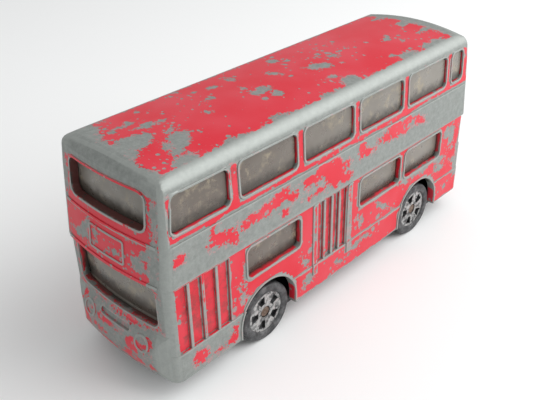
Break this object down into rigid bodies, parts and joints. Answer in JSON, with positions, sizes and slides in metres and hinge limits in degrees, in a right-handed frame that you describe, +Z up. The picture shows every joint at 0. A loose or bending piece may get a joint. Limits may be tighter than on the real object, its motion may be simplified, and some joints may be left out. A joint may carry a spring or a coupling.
{
  "type": "toy double-deck bus",
  "caption": "Small die-cast toy double-deck bus with a ribbed centre and front door, clear windows over a seat deck, a riveted base and free-rolling wheels on wire axles.",
  "frame": {"origin": "on the ground under the middle of the bus", "axes": "+X towards the front, +Y towards the nearside with the doors, +Z up"},
  "size_m": [0.0786, 0.0233, 0.037],
  "materials": {
    "worn_red_paint": "gloss red paint worn through to dull zinc on every raised edge",
    "cloudy_window": "clear plastic gone cloudy",
    "seat_plastic": "satin",
    "base_metal": "dull",
    "axle_wire": "browned",
    "wheel_plastic": "satin black with worn silver foil on the hub"
  },
  "bodies": {
    "bus": {"body_shell": "worn_red_paint", "glazing": "cloudy_window", "seat_deck": "seat_plastic", "base_plate": "base_metal"},
    "front_axle": {"front_axle": "axle_wire"},
    "rear_axle": {"rear_axle": "axle_wire"},
    "wheel_front_left": {"wheel_front_left": "wheel_plastic"},
    "wheel_front_right": {"wheel_front_right": "wheel_plastic"},
    "wheel_rear_left": {"wheel_rear_left": "wheel_plastic"},
    "wheel_rear_right": {"wheel_rear_right": "wheel_plastic"}
  },
  "joints": [
    {"name": "front_axle_spin", "type": "hinge", "parent": "bus", "child": "front_axle", "pos_m": [0.0181, 0, 0.0051], "axis": [0, 1, 0], "continuous": true},
    {"name": "rear_axle_spin", "type": "hinge", "parent": "bus", "child": "rear_axle", "pos_m": [-0.0228, 0, 0.0051], "axis": [0, 1, 0], "continuous": true},
    {"name": "front_left_spin", "type": "hinge", "parent": "front_axle", "child": "wheel_front_left", "pos_m": [0.0181, 0.0092, 0.0051], "axis": [0, 1, 0], "continuous": true},
    {"name": "front_right_spin", "type": "hinge", "parent": "front_axle", "child": "wheel_front_right", "pos_m": [0.0181, -0.0092, 0.0051], "axis": [0, 1, 0], "continuous": true},
    {"name": "rear_left_spin", "type": "hinge", "parent": "rear_axle", "child": "wheel_rear_left", "pos_m": [-0.0228, 0.0092, 0.0051], "axis": [0, 1, 0], "continuous": true},
    {"name": "rear_right_spin", "type": "hinge", "parent": "rear_axle", "child": "wheel_rear_right", "pos_m": [-0.0228, -0.0092, 0.0051], "axis": [0, 1, 0], "continuous": true}
  ]
}
